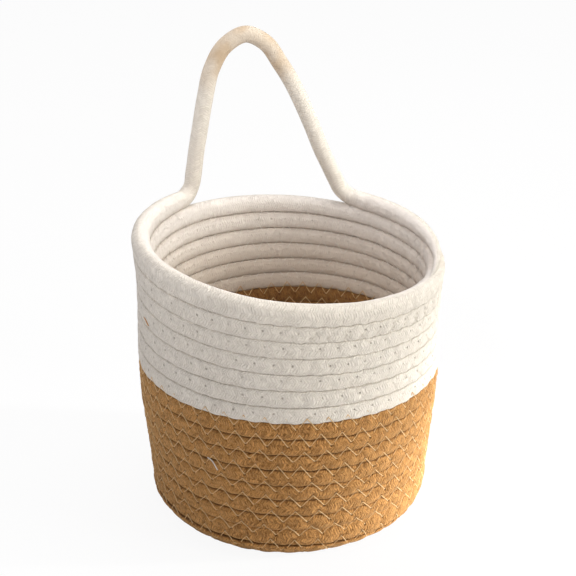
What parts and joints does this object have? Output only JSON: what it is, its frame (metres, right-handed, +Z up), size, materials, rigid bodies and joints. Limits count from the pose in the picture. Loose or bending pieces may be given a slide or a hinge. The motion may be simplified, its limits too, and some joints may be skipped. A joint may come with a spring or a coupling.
{
  "type": "rope basket",
  "caption": "Round basket coiled from thick two-tone cotton rope, with a soft carrying loop standing up from the rim at the back.",
  "frame": {"origin": "on the surface the basket stands on, below the middle of the round base", "axes": "+Z up, +Y towards the back, where the carrying loop stands, +X to the right seen from the front"},
  "size_m": [0.1419, 0.1415, 0.2134],
  "materials": {
    "tan_cotton": "matt braided cotton rope, tan",
    "natural_cotton": "matt braided cotton rope, undyed"
  },
  "bodies": {
    "basket": {"tan_rope": "tan_cotton", "natural_rope": "natural_cotton", "rope_tail": "natural_cotton"},
    "loop": {"carrying_loop": "natural_cotton"}
  },
  "joints": [
    {"name": "loop_fold", "type": "hinge", "parent": "basket", "child": "loop", "pos_m": [0, 0.05591, 0.15153], "axis": [1, 0, 0], "range_deg": [-90, 90], "stiffness_Nm_per_rad": 0.02}
  ]
}
